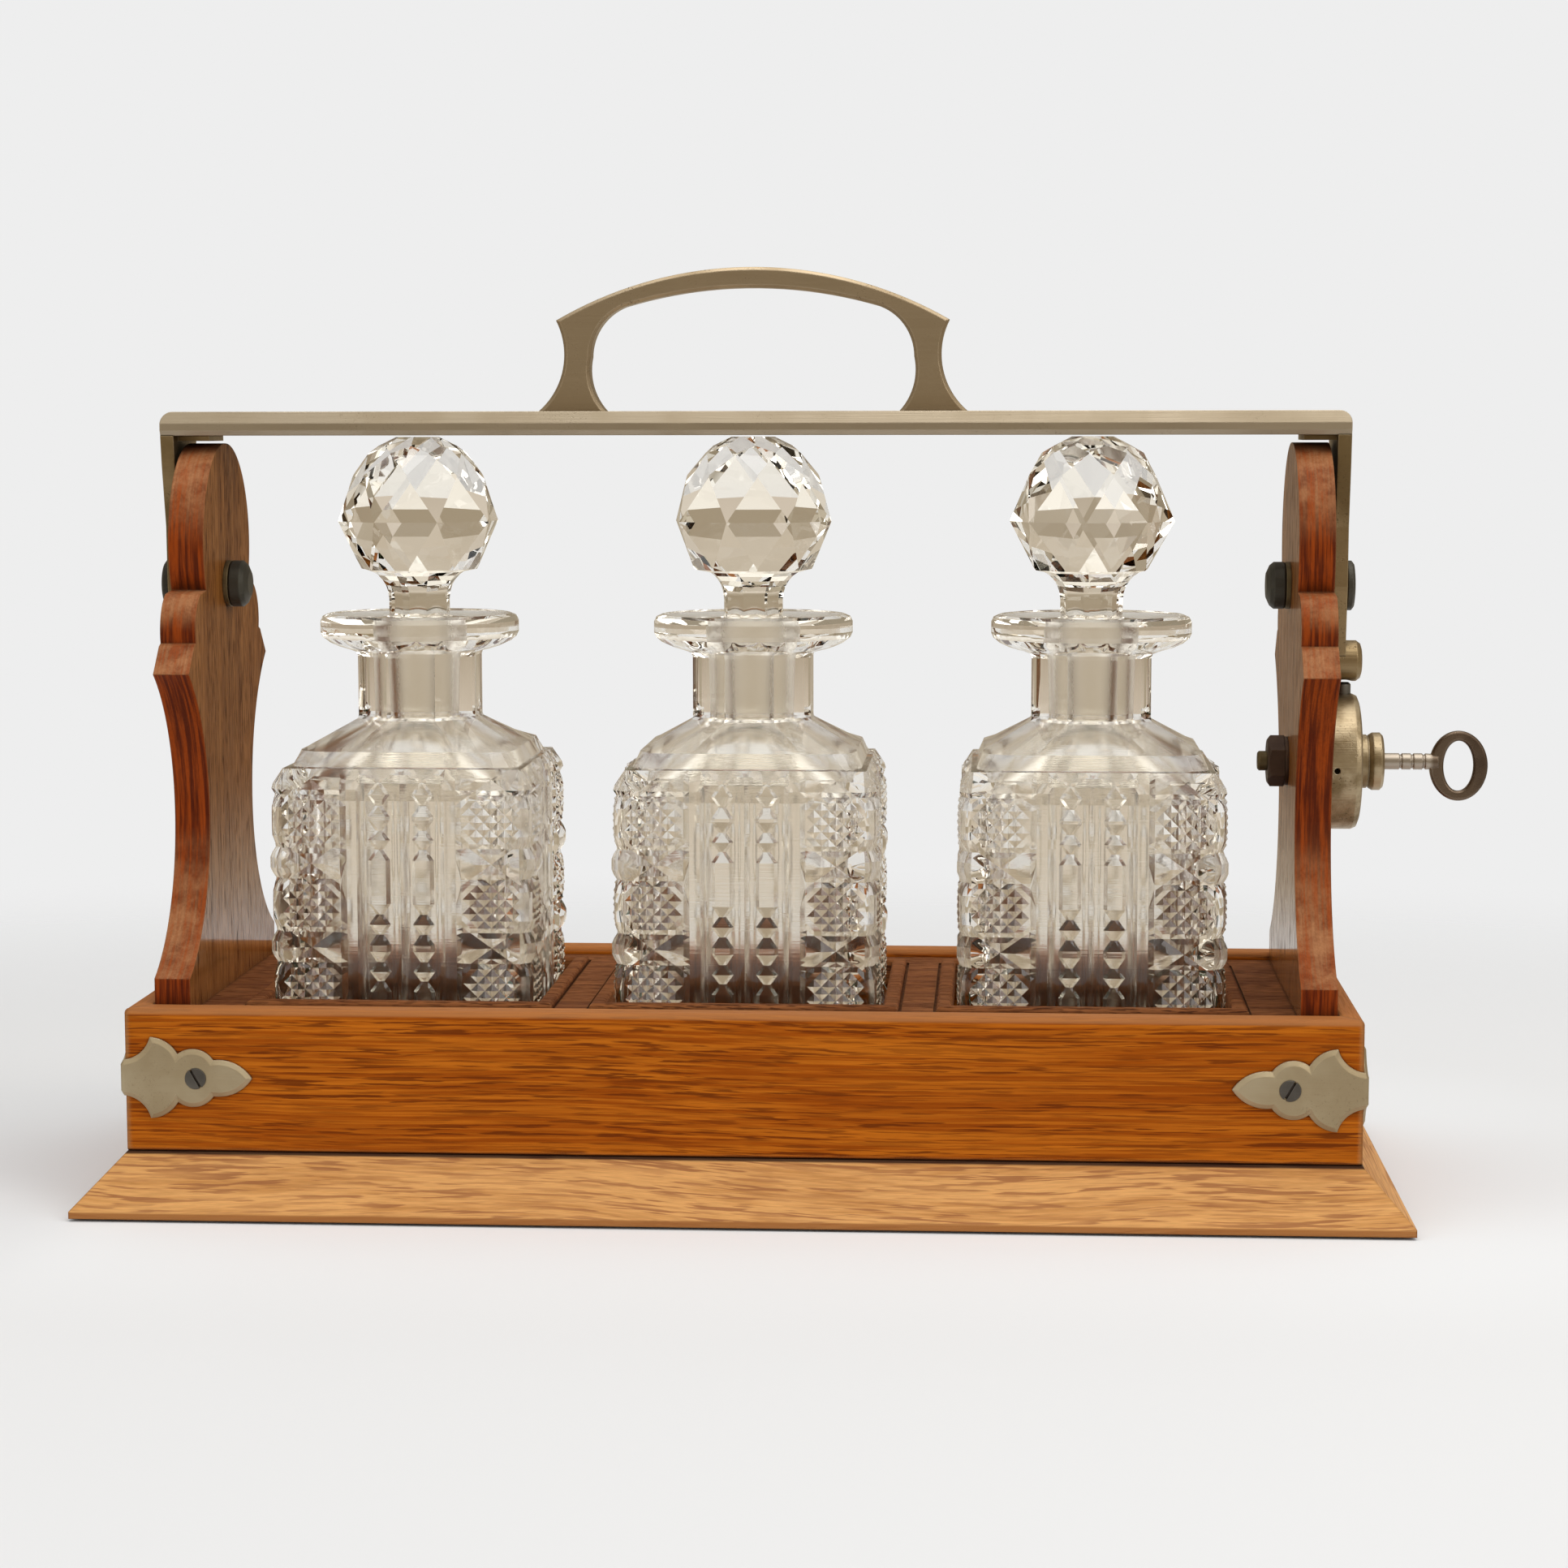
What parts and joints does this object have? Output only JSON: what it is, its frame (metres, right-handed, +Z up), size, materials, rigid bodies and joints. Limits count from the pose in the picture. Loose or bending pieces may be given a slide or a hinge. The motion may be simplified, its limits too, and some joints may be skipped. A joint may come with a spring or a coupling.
{
  "type": "three-decanter tantalus",
  "caption": "Oak stand that holds square cut-glass decanters under a hinged locking bar with a carrying handle, a barrel lock and its key.",
  "frame": {"origin": "on the surface it stands on, under the middle of the box", "axes": "+X to the side with the lock, +Y to the back, +Z up"},
  "size_m": [0.4053, 0.1576, 0.2698],
  "materials": {
    "plinth_oak": "honey oak, waxed",
    "box_oak": "golden oak, polished",
    "deck_oak": "brown oak, matt",
    "upright_oak": "red-brown oak, polished edges",
    "nickel": "worn satin nickel plate",
    "dark_steel": "dark bronzed",
    "steel": "dull steel",
    "lock_brass": "plain brass",
    "key_steel": "worn steel",
    "cut_glass": "cut and polished",
    "baize": "green wool baize"
  },
  "bodies": {
    "stand": {"base_baize": "baize", "base_board": "plinth_oak", "bead_frame_1": "deck_oak", "bead_frame_2": "deck_oak", "bead_frame_3": "deck_oak", "box_back": "box_oak", "box_front": "box_oak", "box_left": "box_oak", "box_right": "box_oak", "corner_strap_back_left": "nickel", "corner_strap_back_right": "nickel", "corner_strap_front_left": "nickel", "corner_strap_front_right": "nickel", "deck": "deck_oak", "divider_left": "deck_oak", "divider_right": "deck_oak", "inner_washer_left": "dark_steel", "inner_washer_right": "dark_steel", "lock_case": "nickel", "lock_collar": "nickel", "lock_nut": "dark_steel", "lock_plate": "lock_brass", "lock_stud": "dark_steel", "lock_washer": "dark_steel", "pivot_bolt_left": "dark_steel", "pivot_bolt_right": "dark_steel", "pivot_nut_left": "dark_steel", "pivot_nut_right": "dark_steel", "pivot_washer_left": "dark_steel", "pivot_washer_right": "dark_steel", "plinth_back": "plinth_oak", "plinth_front": "plinth_oak", "plinth_left": "plinth_oak", "plinth_right": "plinth_oak", "strap_screws": "steel", "upright_left": "upright_oak", "upright_right": "upright_oak", "upright_screws": "steel", "well_pad_1": "baize", "well_pad_2": "baize", "well_pad_3": "baize"},
    "locking_frame": {"bar": "nickel", "arm_left": "nickel", "arm_right": "nickel", "catch_boss": "nickel", "handle": "nickel", "handle_screws": "steel"},
    "lock_plug": {"lock_plug": "lock_brass"},
    "lock_bolt": {"lock_bolt": "steel"},
    "key": {"key": "key_steel"},
    "decanter_1": {"decanter_1": "cut_glass"},
    "stopper_1": {"stopper_1": "cut_glass"},
    "decanter_2": {"decanter_2": "cut_glass"},
    "stopper_2": {"stopper_2": "cut_glass"},
    "decanter_3": {"decanter_3": "cut_glass"},
    "stopper_3": {"stopper_3": "cut_glass"}
  },
  "joints": [
    {"name": "frame_swing", "type": "hinge", "parent": "stand", "child": "locking_frame", "pos_m": [0, 0, 0.1767], "axis": [-1, 0, 0], "range_deg": [0, 85]},
    {"name": "key_turn", "type": "hinge", "parent": "stand", "child": "lock_plug", "pos_m": [0.18, 0, 0.1249], "axis": [-1, 0, 0], "range_deg": [0, 90.01]},
    {"name": "bolt_throw", "type": "slide", "parent": "stand", "child": "lock_bolt", "axis": [0, 0, 1], "range_m": [0, 0.00495]},
    {"name": "key_pull", "type": "slide", "parent": "lock_plug", "child": "key", "axis": [1, 0, 0], "range_m": [0, 0.03]},
    {"name": "decanter_1_lift", "type": "slide", "parent": "stand", "child": "decanter_1", "axis": [0, 0, 1], "range_m": [0, 0.0004]},
    {"name": "stopper_1_turn", "type": "hinge", "parent": "decanter_1", "child": "stopper_1", "pos_m": [-0.1, 0, 0.15], "axis": [0, 0, 1], "continuous": true},
    {"name": "decanter_2_lift", "type": "slide", "parent": "stand", "child": "decanter_2", "axis": [0, 0, 1], "range_m": [0, 0.0004]},
    {"name": "stopper_2_turn", "type": "hinge", "parent": "decanter_2", "child": "stopper_2", "pos_m": [0, 0, 0.15], "axis": [0, 0, 1], "continuous": true},
    {"name": "decanter_3_lift", "type": "slide", "parent": "stand", "child": "decanter_3", "axis": [0, 0, 1], "range_m": [0, 0.0004]},
    {"name": "stopper_3_turn", "type": "hinge", "parent": "decanter_3", "child": "stopper_3", "pos_m": [0.1, 0, 0.15], "axis": [0, 0, 1], "continuous": true}
  ],
  "couplings": [
    {"joint": "key_turn", "follows": "bolt_throw", "rad_per_m": 317.33}
  ]
}
